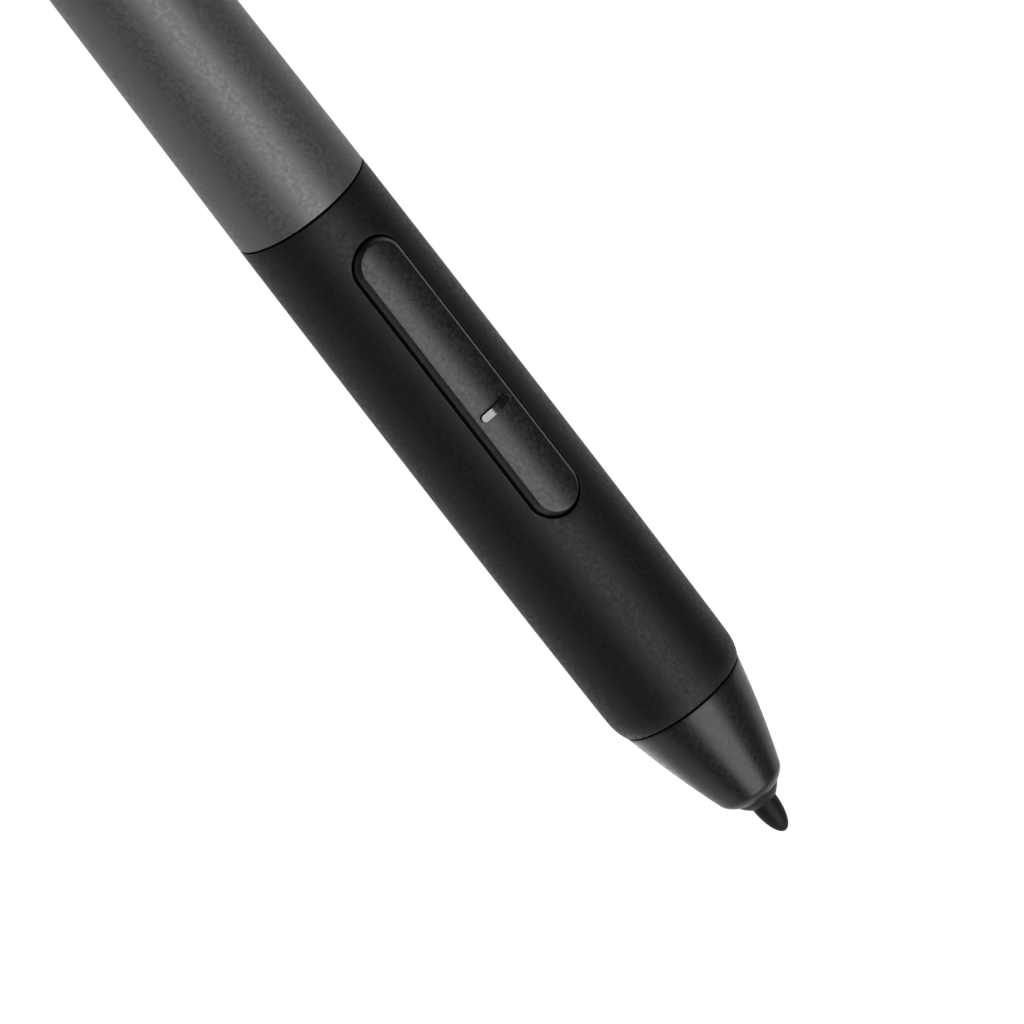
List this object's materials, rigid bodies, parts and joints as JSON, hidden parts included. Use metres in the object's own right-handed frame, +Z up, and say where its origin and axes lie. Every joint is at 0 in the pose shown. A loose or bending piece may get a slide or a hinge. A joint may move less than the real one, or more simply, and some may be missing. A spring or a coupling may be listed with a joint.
{
  "type": "digitiser pen",
  "caption": "Battery-free pen for a pen display: tapered barrel, slim two-way side rocker, gloss nose cone and pull-out pressure nib, built as separate shells round a sprung sensor core.",
  "frame": {"origin": "the point on the desk under the middle of the pen, which lies on its side with the rocker up", "axes": "+X along the pen towards the nib, +Z up through the rocker, +Y to the left of someone who looks along the pen towards its nib"},
  "size_m": [0.162, 0.0124, 0.0132],
  "materials": {
    "nib_acetal": "satin",
    "guide_plastic": "satin",
    "gloss_shell": "gloss",
    "grip_shell": "satin",
    "painted_shell": "satin",
    "rocker_plastic": "satin",
    "rib_gloss": "gloss",
    "pin_steel": "polished",
    "inner_plastic": "satin",
    "silicone": "matte",
    "board_laminate": "satin",
    "switch_case": "satin",
    "switch_stem": "satin",
    "chip_epoxy": "matte",
    "capacitor_ceramic": "satin",
    "ferrite": "matte",
    "copper_wire": "gloss",
    "sensor_ceramic": "satin"
  },
  "bodies": {
    "pen": {"nib_guide": "guide_plastic", "nose_cone": "gloss_shell", "grip_barrel": "grip_shell", "rear_barrel": "painted_shell", "tail_cap": "gloss_shell", "rocker_pin": "pin_steel", "chassis": "inner_plastic", "chassis_cushion": "silicone", "circuit_board": "board_laminate", "upper_switch": "switch_case", "lower_switch": "switch_case", "controller_chip": "chip_epoxy", "board_capacitors": "capacitor_ceramic", "ferrite_core": "ferrite", "coil_bobbin": "inner_plastic", "coil_winding": "copper_wire", "coil_leads": "copper_wire", "sensor_housing": "inner_plastic", "pressure_pad": "silicone", "sensor_disc": "sensor_ceramic", "sensor_cap": "inner_plastic"},
    "nib_carrier": {"nib_holder": "inner_plastic"},
    "nib": {"nib": "nib_acetal"},
    "rocker": {"rocker_button": "rocker_plastic", "rocker_rib": "rib_gloss"},
    "upper_stem": {"upper_switch_stem": "switch_stem"},
    "lower_stem": {"lower_switch_stem": "switch_stem"}
  },
  "joints": [
    {"name": "nib_press", "type": "slide", "parent": "pen", "child": "nib_carrier", "axis": [-1, 0, 0], "range_m": [0, 0.0004], "stiffness_N_per_m": 5000, "deforming": ["pressure_pad"]},
    {"name": "nib_pull", "type": "slide", "parent": "nib_carrier", "child": "nib", "axis": [1, 0, 0], "range_m": [0, 0.0225]},
    {"name": "rocker_tilt", "type": "hinge", "parent": "pen", "child": "rocker", "pos_m": [0.0364, 0, 0.0092], "axis": [0, 1, 0], "range_deg": [-1.6, 1.6], "stiffness_Nm_per_rad": 0.4},
    {"name": "upper_switch_press", "type": "slide", "parent": "pen", "child": "upper_stem", "axis": [0, 0, -1], "range_m": [-0.00024, 0.00024]},
    {"name": "lower_switch_press", "type": "slide", "parent": "pen", "child": "lower_stem", "axis": [0, 0, -1], "range_m": [-0.00024, 0.00024]}
  ],
  "couplings": [
    {"joint": "upper_switch_press", "follows": "rocker_tilt", "m_per_rad": -0.008},
    {"joint": "lower_switch_press", "follows": "rocker_tilt", "m_per_rad": 0.008}
  ]
}
